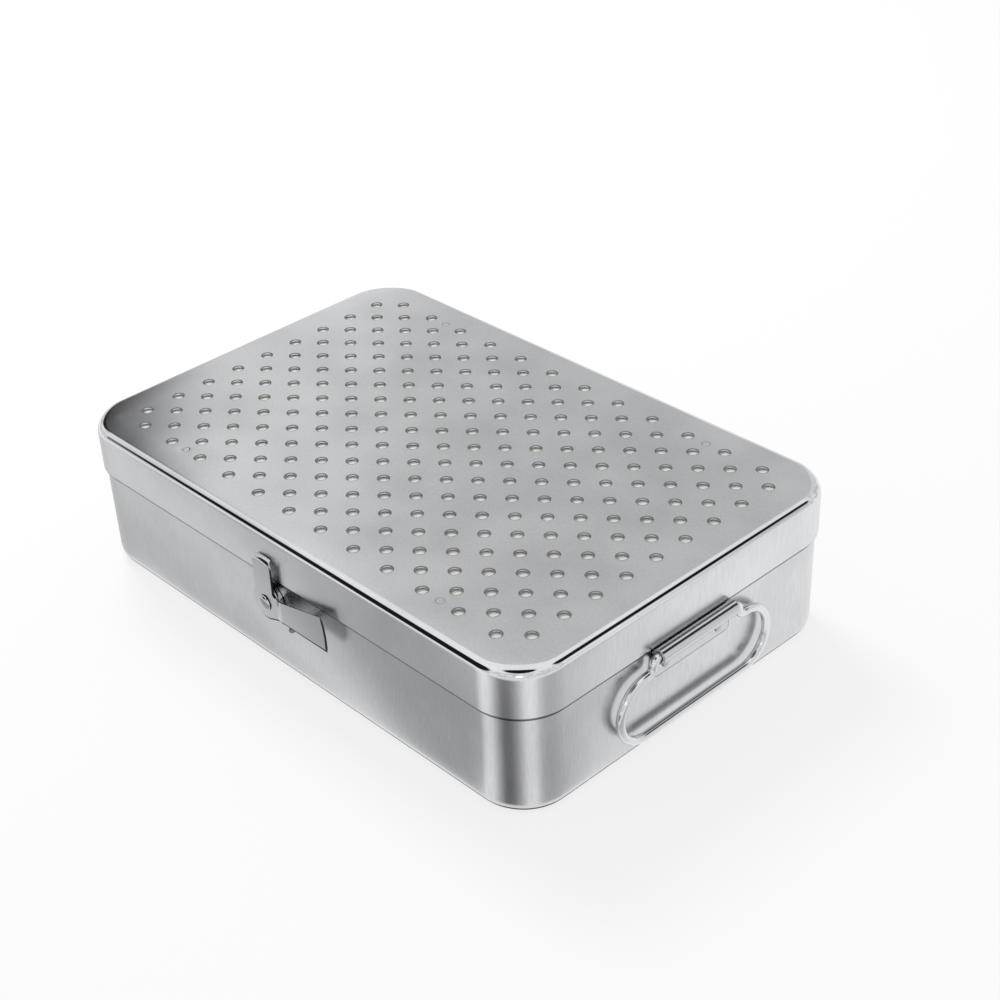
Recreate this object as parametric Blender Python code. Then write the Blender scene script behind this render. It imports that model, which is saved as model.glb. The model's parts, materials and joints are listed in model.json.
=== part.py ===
"""Sterilization container: a deep-drawn steel base, a lift-off perforated lid with a filter
inside it, one turning latch at the front and a drop handle of bent wire at each end.

Metres, +Z up. The origin is the middle of the base's underside. X runs along the box,
and the latch is on the -Y side. The box is shut, the latch is closed and the handles hang.
"""
import math

import bmesh
import bpy
from mathutils import Vector

# General
GAP = 0.0003                   # between pieces that touch
CHAMFER = 0.0003               # on the rims of turned pieces
TAIL_TAPER = 0.8               # share of a rivet tail's radius left at its flat end
SMOOTH_BELOW = 35              # degrees between faces that are shaded as one
CORNER_STEPS = 6               # facets round a quarter of a box corner
EDGE_STEPS = 4                 # facets round a drawn edge
DOME_STEPS = 3                 # facets from a dome's rim to its crown
TURNED_SIDES = 16              # facets round the latch's turned pieces
SMALL_SIDES = 10               # facets round a small rivet, stud or nut

# Box
BOX_LENGTH = 0.300             # over the lid
BOX_WIDTH = 0.200              # over the lid
BOX_HEIGHT = 0.075             # over the lid
LID_SKIRT = 0.0235
LID_SHEET = 0.0010
LID_CORNER_RADIUS = 0.025
LID_EDGE_RADIUS = 0.0040
LID_CLEARANCE = 0.0005         # between the skirt and the base, each side
BASE_SHEET = 0.0010
BASE_EDGE_RADIUS = 0.0060

# Holes in the lid, staggered: every other point of a grid
HOLE_RADIUS = 0.0026
HOLE_SIDES = 8
HOLE_PITCH_X = 0.01080         # between neighbouring columns
HOLE_PITCH_Y = 0.00908         # between neighbouring rows
HOLE_MARGIN_X = 0.0165         # least bare strip along each end of the lid
HOLE_MARGIN_Y = 0.0150         # least bare strip along each side of the lid

# Filter inside the lid
FILTER_SHEET = 0.0006
FILTER_MARGIN = 0.0055         # from the sheet's edge to the inside of the base
FILTER_STUD_INSET_STEPS = 4    # columns from the end of the grid to the studs
FILTER_STUD_RADIUS = 0.0015
FILTER_STUD_PAST_NUT = 0.0010  # how far each stud stands out below its nut
FILTER_FRAME_STRIP = 0.012
FILTER_FRAME_SHEET = 0.0010
FILTER_FRAME_CORNER = 0.013    # radius of the frame's outer corners
FILTER_WINDOW_CORNER = 0.007   # radius of the corners of its window
FILTER_NUT_RADIUS = 0.0045
FILTER_NUT_HEIGHT = 0.0026

# Latch
LATCH_X = -0.0069              # the rivet, along the front of the box
LATCH_DROP = 0.0128            # from the skirt's lower edge down to the rivet
LATCH_SHEET = 0.0012
LATCH_STANDOFF = 0.0018        # from the lid's wall to the back of the plate
HUB_RADIUS = 0.0080
HUB_STEPS = 14
TAB_WIDTH = 0.0120
TAB_REACH = 0.0240             # from the rivet to the top of the lip
TAB_STEPS = 6                  # facets along the lip
LIP_STEPS = 4                  # facets round the lip's curl
LIP_TAPER = 0.25               # share of the tab's width lost at the lip's end
LEVER_REACH = 0.0430           # from the rivet to the lever's end
LEVER_END_STEPS = 6
LEVER_TOP_ROOT = 0.0054        # lever edges, above or below the rivet's centre
LEVER_TOP_END = 0.0126
LEVER_BOTTOM = 0.0037
LEVER_FILLET = 0.0015
LEVER_FILLET_STEPS = 4
LEVER_BEND_START = 0.0080      # where the lever steps away from the box
LEVER_BEND_LENGTH = 0.0060
LEVER_BEND_STEP = 0.0015
LEVER_BEND_STATIONS = 6
LATCH_RIVET_RADIUS = 0.0023
LATCH_RIVET_HEAD_RADIUS = 0.0040
LATCH_RIVET_HEAD_HEIGHT = 0.0014
LATCH_RIVET_TAIL_RADIUS = 0.0037
LATCH_RIVET_TAIL_HEIGHT = 0.0012
LATCH_WASHER_RADIUS = 0.0065
LATCH_WASHER_SHEET = 0.0008
SPACER_RADIUS = 0.0088
STOP_PIN_RADIUS = 0.0013
STOP_PIN_REACH = 0.0185        # from the rivet along the lever
STOP_PIN_TAIL_RADIUS = 0.0021
STOP_PIN_TAIL_HEIGHT = 0.0008
CATCH_RADIUS = 0.0025
CATCH_HEIGHT = 0.0010

# Drop handles
WIRE_RADIUS = 0.0020
WIRE_BEVEL_STEPS = 2           # gives eight sides
HANDLE_LENGTH = 0.0925         # between the middles of the wire at the two ends of the loop
HANDLE_HEIGHT = 0.0310         # between the middles of its upper and lower wires
HANDLE_DROP = 0.0062           # from the pivot down to the upper wire
HANDLE_BEND_STEPS = 4          # facets round each bend beside the hinge
HANDLE_END_STEPS = 9           # facets round each end of the loop
HINGE_LENGTH = 0.0470
HINGE_SHEET = 0.0012
HINGE_BORE_CLEARANCE = 0.00035
HINGE_LEAF_DEPTH = 0.0125      # from the pivot down to the leaf's lower edge
HINGE_LEAF_CORNER = 0.0022     # radius of the leaf's two lower corners
HINGE_LEAF_CORNER_STEPS = 3
HINGE_ROLL = 305               # degrees of sheet rolled round the wire
HINGE_ROLL_STEPS = 16
HINGE_RIVET_SPACING = 0.0330
HINGE_RIVET_DROP = 0.0085      # below the pivot
HINGE_RIVET_RADIUS = 0.0012
HINGE_RIVET_HEAD_RADIUS = 0.0018
HINGE_RIVET_HEAD_HEIGHT = 0.0009
WIRE_BUTT_GAP = 0.0005         # between the wire's two ends inside the roll

# Places worked out from the sizes above
LID_HALF_X = BOX_LENGTH / 2
LID_HALF_Y = BOX_WIDTH / 2
BASE_INSET = LID_SHEET + LID_CLEARANCE
BASE_HALF_X = LID_HALF_X - BASE_INSET
BASE_HALF_Y = LID_HALF_Y - BASE_INSET
BASE_CORNER_RADIUS = LID_CORNER_RADIUS - BASE_INSET
LID_LOWER_EDGE = BOX_HEIGHT - LID_SKIRT
LID_UNDERSIDE = BOX_HEIGHT - LID_SHEET
# The base's rim meets the inside of the lid's drawn edge, a gap short of it
LID_INNER_EDGE_RADIUS = LID_EDGE_RADIUS - LID_SHEET
RIM_ABOVE_EDGE = math.sqrt(max(0, (LID_INNER_EDGE_RADIUS - GAP) ** 2
                               - (LID_INNER_EDGE_RADIUS - LID_CLEARANCE) ** 2))
BASE_HEIGHT = LID_UNDERSIDE - LID_INNER_EDGE_RADIUS + RIM_ABOVE_EDGE

HOLE_COLUMNS = int((LID_HALF_X - HOLE_MARGIN_X - HOLE_RADIUS) / HOLE_PITCH_X)
HOLE_ROWS = int((LID_HALF_Y - HOLE_MARGIN_Y - HOLE_RADIUS) / HOLE_PITCH_Y)
# The studs stand in the last row, at a point of the grid that has no hole
STUD_COLUMN = HOLE_COLUMNS - FILTER_STUD_INSET_STEPS
STUD_COLUMN -= (STUD_COLUMN + HOLE_ROWS + 1) % 2

FILTER_HALF_X = BASE_HALF_X - BASE_SHEET - FILTER_MARGIN
FILTER_HALF_Y = BASE_HALF_Y - BASE_SHEET - FILTER_MARGIN
FILTER_CORNER_RADIUS = BASE_CORNER_RADIUS - BASE_SHEET - FILTER_MARGIN
FILTER_TOP = LID_UNDERSIDE - GAP
FRAME_TOP = FILTER_TOP - FILTER_SHEET - GAP
FILTER_STUD_X = STUD_COLUMN * HOLE_PITCH_X
FILTER_STUD_Y = HOLE_ROWS * HOLE_PITCH_Y
FRAME_HALF_Y = FILTER_STUD_Y + FILTER_FRAME_STRIP / 2
FRAME_HALF_X = FILTER_HALF_X - (FILTER_HALF_Y - FRAME_HALF_Y)
NUT_TOP = FRAME_TOP - FILTER_FRAME_SHEET - GAP

LATCH_Z = LID_LOWER_EDGE - LATCH_DROP
PLATE_BACK = -LID_HALF_Y - LATCH_STANDOFF
PLATE_FRONT = PLATE_BACK - LATCH_SHEET
BASE_FRONT = -BASE_HALF_Y
BASE_FRONT_INSIDE = BASE_FRONT + BASE_SHEET
# The lip is a quarter circle that ends a gap short of the lid's wall
LIP_DEPTH = LATCH_STANDOFF - GAP + LATCH_SHEET / 2
CATCH_CENTRE = TAB_REACH - LATCH_SHEET - GAP - CATCH_RADIUS
STOP_PIN_DROP = LEVER_BOTTOM + GAP + STOP_PIN_RADIUS

HINGE_BORE = WIRE_RADIUS + HINGE_BORE_CLEARANCE
HINGE_OUTER = HINGE_BORE + HINGE_SHEET
HINGE_X = BASE_HALF_X + GAP + HINGE_OUTER
# The roll sits as high as it can, a gap away from the skirt's lower outer corner
HINGE_Z = LID_LOWER_EDGE - math.sqrt((HINGE_OUTER + GAP) ** 2 - (HINGE_X - LID_HALF_X) ** 2)
# The wire is straight to just past the roll, then bends down
SHOULDER_Y = HINGE_LENGTH / 2 + GAP + HANDLE_DROP / 2


def clear_scene():
    for item in list(bpy.data.objects):
        bpy.data.objects.remove(item, do_unlink=True)


def steel(name, colour, roughness):
    material = bpy.data.materials.new(name)
    material.use_nodes = True
    shader = material.node_tree.nodes["Principled BSDF"]
    shader.inputs["Base Color"].default_value = (*colour, 1.0)
    shader.inputs["Metallic"].default_value = 1.0
    shader.inputs["Roughness"].default_value = roughness
    return material


def filter_paper(name):
    material = bpy.data.materials.new(name)
    material.use_nodes = True
    shader = material.node_tree.nodes["Principled BSDF"]
    shader.inputs["Base Color"].default_value = (0.82, 0.82, 0.80, 1.0)
    shader.inputs["Roughness"].default_value = 0.9
    return material


def add_object(name, mesh, material, place=(0, 0, 0), turn=(0, 0, 0)):
    item = bpy.data.objects.new(name, mesh)
    item.location = place
    item.rotation_euler = turn
    if not mesh.materials:
        mesh.materials.append(material)
    bpy.context.collection.objects.link(item)
    return item


def mesh_from(shape, name):
    bmesh.ops.recalc_face_normals(shape, faces=shape.faces)
    mesh = bpy.data.meshes.new(name)
    shape.to_mesh(mesh)
    shape.free()
    mesh.shade_smooth()
    mesh.set_sharp_from_angle(angle=math.radians(SMOOTH_BELOW))
    return mesh


def arc(centre_u, centre_v, radius, start, end, steps):
    """Points on an arc, with angles in degrees, both ends included."""
    points = []
    for step in range(steps + 1):
        angle = math.radians(start + (end - start) * step / steps)
        points.append((centre_u + radius * math.cos(angle), centre_v + radius * math.sin(angle)))
    return points


def rounded_rectangle(half_x, half_y, radius):
    """Corner arcs of a rounded rectangle, counter-clockwise from the -Y end of the +X side."""
    points = []
    for quarter, (side_x, side_y) in enumerate(((1, 1), (-1, 1), (-1, -1), (1, -1))):
        centre = (side_x * (half_x - radius), side_y * (half_y - radius))
        points += arc(*centre, radius, 90 * quarter, 90 * quarter + 90, CORNER_STEPS)
    return points


def add_ring(shape, half_x, half_y, radius, z):
    return [shape.verts.new((x, y, z)) for x, y in rounded_rectangle(half_x, half_y, radius)]


def bridge(shape, lower, upper):
    count = len(lower)
    for index in range(count):
        after = (index + 1) % count
        shape.faces.new((lower[index], lower[after], upper[after], upper[index]))


def drawn_edge(half_x, half_y, corner, edge, flat_z, toward):
    """Rings of a drawn edge from the flat face at flat_z to the wall. toward is +1 or -1 in z."""
    rings = []
    for step in range(EDGE_STEPS + 1):
        angle = math.pi / 2 * step / EDGE_STEPS
        inset = edge * (1 - math.sin(angle))
        z = flat_z + toward * edge * (1 - math.cos(angle))
        rings.append((half_x - inset, half_y - inset, corner - inset, z))
    return rings


def drawn_pan(outer, inner, mouth_z, name):
    """A pan with a closed flat face: outer and inner edge rings, joined at the mouth."""
    shape = bmesh.new()
    rings = outer + [(*outer[-1][:3], mouth_z), (*inner[-1][:3], mouth_z)] + inner[::-1]
    loops = [add_ring(shape, *ring) for ring in rings]
    for lower, upper in zip(loops, loops[1:]):
        bridge(shape, lower, upper)
    shape.faces.new(loops[0])
    shape.faces.new(loops[-1])
    return mesh_from(shape, name)


def prism(outline, low, high, name):
    """Extrude an outline of (u, v) points from low to high along Z."""
    shape = bmesh.new()
    floor = [shape.verts.new((u, v, low)) for u, v in outline]
    roof = [shape.verts.new((u, v, high)) for u, v in outline]
    bridge(shape, floor, roof)
    shape.faces.new(floor)
    shape.faces.new(roof)
    return mesh_from(shape, name)


def turned(profile, name, sides=TURNED_SIDES):
    """Turn a closed profile of (radius, height) points about Z. Zero radius closes on the axis."""
    shape = bmesh.new()
    loops = []
    for radius, height in profile:
        if radius == 0:
            loops.append([shape.verts.new((0, 0, height))])
        else:
            circle = arc(0, 0, radius, 0, 360, sides)[:-1]
            loops.append([shape.verts.new((x, y, height)) for x, y in circle])
    pairs = list(zip(loops, loops[1:]))
    if profile[0][0] > 0:
        pairs.append((loops[-1], loops[0]))
    for lower, upper in pairs:
        if len(lower) == 1 or len(upper) == 1:
            tip, rim = (lower[0], upper) if len(lower) == 1 else (upper[0], lower)
            for index in range(sides):
                shape.faces.new((tip, rim[index], rim[(index + 1) % sides]))
        else:
            bridge(shape, lower, upper)
    return mesh_from(shape, name)


def give_thickness(item, thickness):
    """Turn a bent middle surface into sheet metal."""
    sheet = item.modifiers.new("sheet", "SOLIDIFY")
    sheet.thickness = thickness
    sheet.offset = 0
    sheet.use_even_offset = True


def cut(target, cutter_mesh, place=(0, 0, 0)):
    """Cut target with a mesh that stays in the file as a hidden wire object."""
    cutter = bpy.data.objects.new(cutter_mesh.name, cutter_mesh)
    cutter.location = place
    cutter.display_type = "WIRE"
    cutter.hide_render = True
    bpy.context.collection.objects.link(cutter)
    modifier = target.modifiers.new(cutter_mesh.name, "BOOLEAN")
    modifier.operation = "DIFFERENCE"
    modifier.solver = "EXACT"
    modifier.object = cutter


def cutting_rods(rods, name):
    """One cutter of separate rods, each (start, end, radius, sides)."""
    shape = bmesh.new()
    for start, end, radius, sides in rods:
        start, end = Vector(start), Vector(end)
        turn = (end - start).to_track_quat("Z", "Y")
        loops = []
        for middle in (start, end):
            circle = arc(0, 0, radius, 0, 360, sides)[:-1]
            loops.append([shape.verts.new(middle + turn @ Vector((x, y, 0))) for x, y in circle])
        bridge(shape, *loops)
        shape.faces.new(loops[0])
        shape.faces.new(loops[1])
    return mesh_from(shape, name)


def hole_grid():
    """Centres of the lid's holes, on every other point of the grid."""
    return [(column * HOLE_PITCH_X, row * HOLE_PITCH_Y)
            for column in range(-HOLE_COLUMNS, HOLE_COLUMNS + 1)
            for row in range(-HOLE_ROWS, HOLE_ROWS + 1) if (column + row) % 2 == 0]


def filter_stud_places():
    return {"front_right": (FILTER_STUD_X, -FILTER_STUD_Y),
            "back_right": (FILTER_STUD_X, FILTER_STUD_Y),
            "back_left": (-FILTER_STUD_X, FILTER_STUD_Y),
            "front_left": (-FILTER_STUD_X, -FILTER_STUD_Y)}


def hinge_rivet_places():
    return {"front": -HINGE_RIVET_SPACING / 2, "back": HINGE_RIVET_SPACING / 2}


def make_base_pan(material):
    outer = drawn_edge(BASE_HALF_X, BASE_HALF_Y, BASE_CORNER_RADIUS, BASE_EDGE_RADIUS, 0, 1)
    inner = drawn_edge(BASE_HALF_X - BASE_SHEET, BASE_HALF_Y - BASE_SHEET,
                       BASE_CORNER_RADIUS - BASE_SHEET, BASE_EDGE_RADIUS - BASE_SHEET, BASE_SHEET, 1)
    pan = add_object("base_pan", drawn_pan(outer, inner, BASE_HEIGHT, "base_pan"), material)
    past = 2 * BASE_SHEET
    rods = []
    for x, z, radius in ((LATCH_X, LATCH_Z, LATCH_RIVET_RADIUS),
                         (LATCH_X + STOP_PIN_REACH, LATCH_Z - STOP_PIN_DROP, STOP_PIN_RADIUS)):
        rods.append(((x, BASE_FRONT - past, z), (x, BASE_FRONT_INSIDE + past, z),
                     radius + GAP, TURNED_SIDES))
    for side in (1, -1):
        for y in hinge_rivet_places().values():
            z = HINGE_Z - HINGE_RIVET_DROP
            rods.append(((side * (BASE_HALF_X - BASE_SHEET - past), y, z),
                         (side * (BASE_HALF_X + past), y, z), HINGE_RIVET_RADIUS + GAP, SMALL_SIDES))
    cut(pan, cutting_rods(rods, "base_rivet_holes"))


def make_lid_shell(material):
    outer = drawn_edge(LID_HALF_X, LID_HALF_Y, LID_CORNER_RADIUS, LID_EDGE_RADIUS, BOX_HEIGHT, -1)
    inner = drawn_edge(LID_HALF_X - LID_SHEET, LID_HALF_Y - LID_SHEET,
                       LID_CORNER_RADIUS - LID_SHEET, LID_INNER_EDGE_RADIUS, LID_UNDERSIDE, -1)
    lid = add_object("lid_shell", drawn_pan(outer, inner, LID_LOWER_EDGE, "lid_shell"), material)
    rods = [((x, y, LID_UNDERSIDE - LID_SHEET), (x, y, BOX_HEIGHT + LID_SHEET), HOLE_RADIUS, HOLE_SIDES)
            for x, y in hole_grid()]
    cut(lid, cutting_rods(rods, "lid_holes"))


def make_filter(paper, material):
    """The sheet, the frame that holds it up, and the four welded studs with their nuts."""
    outline = rounded_rectangle(FILTER_HALF_X, FILTER_HALF_Y, FILTER_CORNER_RADIUS)
    sheet = add_object("filter_sheet", prism(outline, FILTER_TOP - FILTER_SHEET, FILTER_TOP, "filter_sheet"),
                       paper)
    strip = FILTER_FRAME_STRIP
    outline = rounded_rectangle(FRAME_HALF_X, FRAME_HALF_Y, FILTER_FRAME_CORNER)
    frame_low = FRAME_TOP - FILTER_FRAME_SHEET
    frame = add_object("filter_frame", prism(outline, frame_low, FRAME_TOP, "filter_frame"), material)
    window = rounded_rectangle(FRAME_HALF_X - strip, FRAME_HALF_Y - strip, FILTER_WINDOW_CORNER)
    cut(frame, prism(window, frame_low - strip, FRAME_TOP + strip, "filter_window"))
    stud_low = NUT_TOP - FILTER_NUT_HEIGHT - FILTER_STUD_PAST_NUT
    rods = [((x, y, stud_low), (x, y, LID_UNDERSIDE), FILTER_STUD_RADIUS + GAP, SMALL_SIDES)
            for x, y in filter_stud_places().values()]
    cut(sheet, cutting_rods(rods, "filter_sheet_holes"))
    cut(frame, cutting_rods(rods, "filter_frame_holes"))
    radius = FILTER_STUD_RADIUS
    stud = turned([(0, stud_low), (radius - CHAMFER, stud_low), (radius, stud_low + CHAMFER),
                   (radius, FILTER_TOP), (0, FILTER_TOP)], "filter_stud", SMALL_SIDES)
    bore = radius + GAP
    rim = FILTER_NUT_RADIUS
    low = NUT_TOP - FILTER_NUT_HEIGHT
    nut = turned([(bore, low), (rim - CHAMFER, low), (rim, low + CHAMFER), (rim, NUT_TOP),
                  (bore, NUT_TOP)], "filter_nut", SMALL_SIDES)
    for place, (x, y) in filter_stud_places().items():
        add_object("filter_stud_" + place, stud, material, (x, y, 0))
        add_object("filter_nut_" + place, nut, material, (x, y, 0))


def latch_outline(fold_radius):
    """Flat outline of the latch plate about its rivet, u along the box and v up."""
    half = TAB_WIDTH / 2
    waist = LEVER_BEND_START + LEVER_BEND_LENGTH
    tab_angle = math.degrees(math.acos(half / fold_radius))
    outline = arc(0, 0, fold_radius, tab_angle, 180 - tab_angle, TAB_STEPS)
    hub_left = math.degrees(math.acos(-half / HUB_RADIUS))
    # The lower edge leaves the hub along its tangent through the waist
    hub_low = 360 - math.degrees(math.acos(HUB_RADIUS / math.hypot(waist, LEVER_BOTTOM))
                                 + math.atan2(LEVER_BOTTOM, waist))
    outline += arc(0, 0, HUB_RADIUS, hub_left, hub_low, HUB_STEPS) + [(waist, -LEVER_BOTTOM)]
    end_low = -math.degrees(math.asin(LEVER_BOTTOM / LEVER_REACH))
    end_high = math.degrees(math.asin(LEVER_TOP_END / LEVER_REACH))
    outline += arc(0, 0, LEVER_REACH, end_low, end_high, LEVER_END_STEPS)
    outline += arc(half + LEVER_FILLET, LEVER_TOP_ROOT + LEVER_FILLET, LEVER_FILLET, 270, 180,
                   LEVER_FILLET_STEPS)
    return outline


def lever_step(u):
    """How far the lever stands away from the plate, with a smooth step along the bend."""
    share = min(max((u - LEVER_BEND_START) / LEVER_BEND_LENGTH, 0), 1)
    return LEVER_BEND_STEP * share * share * (3 - 2 * share)


def make_latch_plate(material):
    """One stamping: hub, tab with a lip folded over the catch, and a lever with a step."""
    fold_radius = TAB_REACH - LATCH_SHEET / 2 - LIP_DEPTH
    shape = bmesh.new()
    shape.faces.new([shape.verts.new((u, 0, v)) for u, v in latch_outline(fold_radius)])
    for bend in range(LEVER_BEND_STATIONS + 1):
        station = LEVER_BEND_START + LEVER_BEND_LENGTH * bend / LEVER_BEND_STATIONS
        geometry = shape.verts[:] + shape.edges[:] + shape.faces[:]
        bmesh.ops.bisect_plane(shape, geom=geometry, plane_co=(station, 0, 0), plane_no=(1, 0, 0))
    for vert in shape.verts:
        vert.co.y = -lever_step(vert.co.x)
    lip = [edge for edge in shape.edges
           if all(vert.co.z > 0 and vert.co.length > fold_radius - GAP for vert in edge.verts)
           and max(abs(vert.co.x) for vert in edge.verts) < TAB_WIDTH]
    for fold in range(1, LIP_STEPS + 1):
        angle = math.pi / 2 * fold / LIP_STEPS
        radius = fold_radius + LIP_DEPTH * math.sin(angle)
        depth = LIP_DEPTH * (1 - math.cos(angle))
        grown = bmesh.ops.extrude_edge_only(shape, edges=lip)["geom"]
        lip = [item for item in grown if isinstance(item, bmesh.types.BMEdge)]
        narrowing = (1 - LIP_TAPER * fold / LIP_STEPS) / (1 - LIP_TAPER * (fold - 1) / LIP_STEPS)
        for vert in {vert for edge in lip for vert in edge.verts}:
            u = vert.co.x * narrowing
            vert.co = (u, depth, math.sqrt(radius * radius - u * u))
    plate = add_object("latch_plate", mesh_from(shape, "latch_plate"), material,
                       (LATCH_X, PLATE_BACK - LATCH_SHEET / 2, LATCH_Z))
    give_thickness(plate, LATCH_SHEET)
    rod =((LATCH_X, PLATE_FRONT - LATCH_SHEET, LATCH_Z), (LATCH_X, PLATE_BACK + LATCH_SHEET, LATCH_Z),
           LATCH_RIVET_RADIUS + GAP, TURNED_SIDES)
    cut(plate, cutting_rods([rod], "latch_rivet_hole"))


def place_turned_front(name, profile, material, x, z):
    """A turned piece whose axis runs along Y. Heights in its profile are world y, negated."""
    add_object(name, turned(profile, name), material, (x, 0, z), (math.pi / 2, 0, 0))


def make_latch_fixings(material):
    """The spacer, rivet and washer that carry the plate, its stop pin, and the lid's catch."""
    bore = LATCH_RIVET_RADIUS + GAP
    low, high = -BASE_FRONT + GAP, -PLATE_BACK - GAP
    place_turned_front("latch_spacer", [(bore, low), (SPACER_RADIUS, low), (SPACER_RADIUS, high - CHAMFER),
                                        (SPACER_RADIUS - CHAMFER, high), (bore, high)],
                       material, LATCH_X, LATCH_Z)
    high = -BASE_FRONT_INSIDE - GAP
    low = high - LATCH_WASHER_SHEET
    place_turned_front("latch_washer", [(bore, low), (LATCH_WASHER_RADIUS, low),
                                        (LATCH_WASHER_RADIUS, high), (bore, high)],
                       material, LATCH_X, LATCH_Z)
    tail = low - GAP
    head = -PLATE_FRONT + GAP
    shank = LATCH_RIVET_RADIUS
    place_turned_front("latch_rivet", [(0, tail - LATCH_RIVET_TAIL_HEIGHT),
                                       (LATCH_RIVET_TAIL_RADIUS * TAIL_TAPER,
                                        tail - LATCH_RIVET_TAIL_HEIGHT),
                                       (LATCH_RIVET_TAIL_RADIUS, tail), (shank, tail), (shank, head)]
                       + dome(LATCH_RIVET_HEAD_RADIUS, head, LATCH_RIVET_HEAD_HEIGHT),
                       material, LATCH_X, LATCH_Z)
    tail = -BASE_FRONT_INSIDE - GAP
    tip = -PLATE_FRONT + LEVER_BEND_STEP + GAP
    radius = STOP_PIN_RADIUS
    place_turned_front("latch_stop_pin", [(0, tail - STOP_PIN_TAIL_HEIGHT),
                                          (STOP_PIN_TAIL_RADIUS * TAIL_TAPER,
                                           tail - STOP_PIN_TAIL_HEIGHT),
                                          (STOP_PIN_TAIL_RADIUS, tail), (radius, tail)]
                       + dome(radius, tip - radius, radius),
                       material, LATCH_X + STOP_PIN_REACH, LATCH_Z - STOP_PIN_DROP)
    wall = LID_HALF_Y + GAP
    place_turned_front("catch_stud", [(0, wall)] + dome(CATCH_RADIUS, wall, CATCH_HEIGHT),
                       material, LATCH_X, LATCH_Z + CATCH_CENTRE)


def dome(radius, base, height):
    """Profile of a low dome, from its rim to its crown on the axis."""
    angles = [math.pi / 2 * step / DOME_STEPS for step in range(DOME_STEPS)]
    return [(radius * math.cos(angle), base + height * math.sin(angle)) for angle in angles] + [
        (0, base + height)]


def hinge_sheet(side, name):
    """Middle surface of leaf and roll about the pivot, in rows that run along the hinge."""
    middle = HINGE_BORE + HINGE_SHEET / 2
    half = HINGE_LENGTH / 2
    corner = arc(half - HINGE_LEAF_CORNER, HINGE_LEAF_CORNER - HINGE_LEAF_DEPTH, HINGE_LEAF_CORNER,
                 -90, 0, HINGE_LEAF_CORNER_STEPS)
    rows = [(-middle, z, reach) for reach, z in corner]
    rows += [(x, z, half) for x, z in arc(0, 0, middle, 180, 180 - HINGE_ROLL, HINGE_ROLL_STEPS)]
    shape = bmesh.new()
    edges = [[shape.verts.new((side * x, y, z)) for y in (-reach, reach)] for x, z, reach in rows]
    for lower, upper in zip(edges, edges[1:]):
        shape.faces.new((lower[0], lower[1], upper[1], upper[0]))
    return mesh_from(shape, name)


def handle_path():
    """Middle of the wire in the plane of the loop, about the pivot: y along it, z up."""
    half = HANDLE_LENGTH / 2
    bend = HANDLE_DROP / 2
    end = HANDLE_HEIGHT / 2
    side = [(WIRE_BUTT_GAP / 2, 0)]
    side += arc(SHOULDER_Y - bend, -bend, bend, 90, 0, HANDLE_BEND_STEPS)
    side += arc(SHOULDER_Y + bend, -bend, bend, 180, 270, HANDLE_BEND_STEPS)[1:]
    side += arc(half - end, -HANDLE_DROP - end, end, 90, -90, HANDLE_END_STEPS)
    return side + [(-y, z) for y, z in reversed(side)]


def make_handle(side, label, material):
    """One hinge leaf rolled round the wire, its two rivets, and the wire loop hanging from it."""
    name = "handle_hinge_" + label
    plate = add_object(name, hinge_sheet(side, name), material, (side * HINGE_X, 0, HINGE_Z))
    give_thickness(plate, HINGE_SHEET)
    rivet_z = HINGE_Z - HINGE_RIVET_DROP
    leaf_face = HINGE_X - HINGE_BORE
    rods = [((side * (leaf_face - 2 * HINGE_SHEET), y, rivet_z), (side * (leaf_face + HINGE_SHEET), y, rivet_z),
             HINGE_RIVET_RADIUS + GAP, SMALL_SIDES) for y in hinge_rivet_places().values()]
    cut(plate, cutting_rods(rods, "hinge_holes_" + label))
    inside = BASE_HALF_X - BASE_SHEET - GAP
    head = leaf_face + GAP
    big = HINGE_RIVET_HEAD_RADIUS
    profile = [(0, inside - HINGE_RIVET_HEAD_HEIGHT), (big * TAIL_TAPER, inside - HINGE_RIVET_HEAD_HEIGHT),
               (big, inside), (HINGE_RIVET_RADIUS, inside), (HINGE_RIVET_RADIUS, head)]
    profile += dome(big, head, HINGE_RIVET_HEAD_HEIGHT)
    rivet = turned(profile, "handle_rivet", SMALL_SIDES)
    for place, y in hinge_rivet_places().items():
        add_object("handle_rivet_" + label + "_" + place, rivet, material, (0, y, rivet_z),
                   (0, side * math.pi / 2, 0))
    points = handle_path()
    curve = bpy.data.curves.new("handle_wire_" + label, "CURVE")
    curve.dimensions = "3D"
    curve.twist_mode = "MINIMUM"
    curve.bevel_depth = WIRE_RADIUS
    curve.bevel_resolution = WIRE_BEVEL_STEPS
    curve.use_fill_caps = True
    spline = curve.splines.new("POLY")
    spline.points.add(len(points) - 1)
    for point, (y, z) in zip(spline.points, points):
        point.co = (0, y, z, 1)
    add_object("handle_wire_" + label, curve, material, (side * HINGE_X, 0, HINGE_Z))


def main():
    clear_scene()
    satin = steel("satin_stainless_steel", (0.62, 0.63, 0.64), 0.30)
    bright = steel("polished_stainless_steel", (0.70, 0.71, 0.72), 0.14)
    paper = filter_paper("filter_paper")
    make_base_pan(satin)
    make_lid_shell(satin)
    make_filter(paper, satin)
    make_latch_plate(bright)
    make_latch_fixings(bright)
    make_handle(1, "right", bright)
    make_handle(-1, "left", bright)


main()
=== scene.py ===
import json
import math

import bmesh
import bpy
from mathutils import Matrix, Vector, noise


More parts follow.
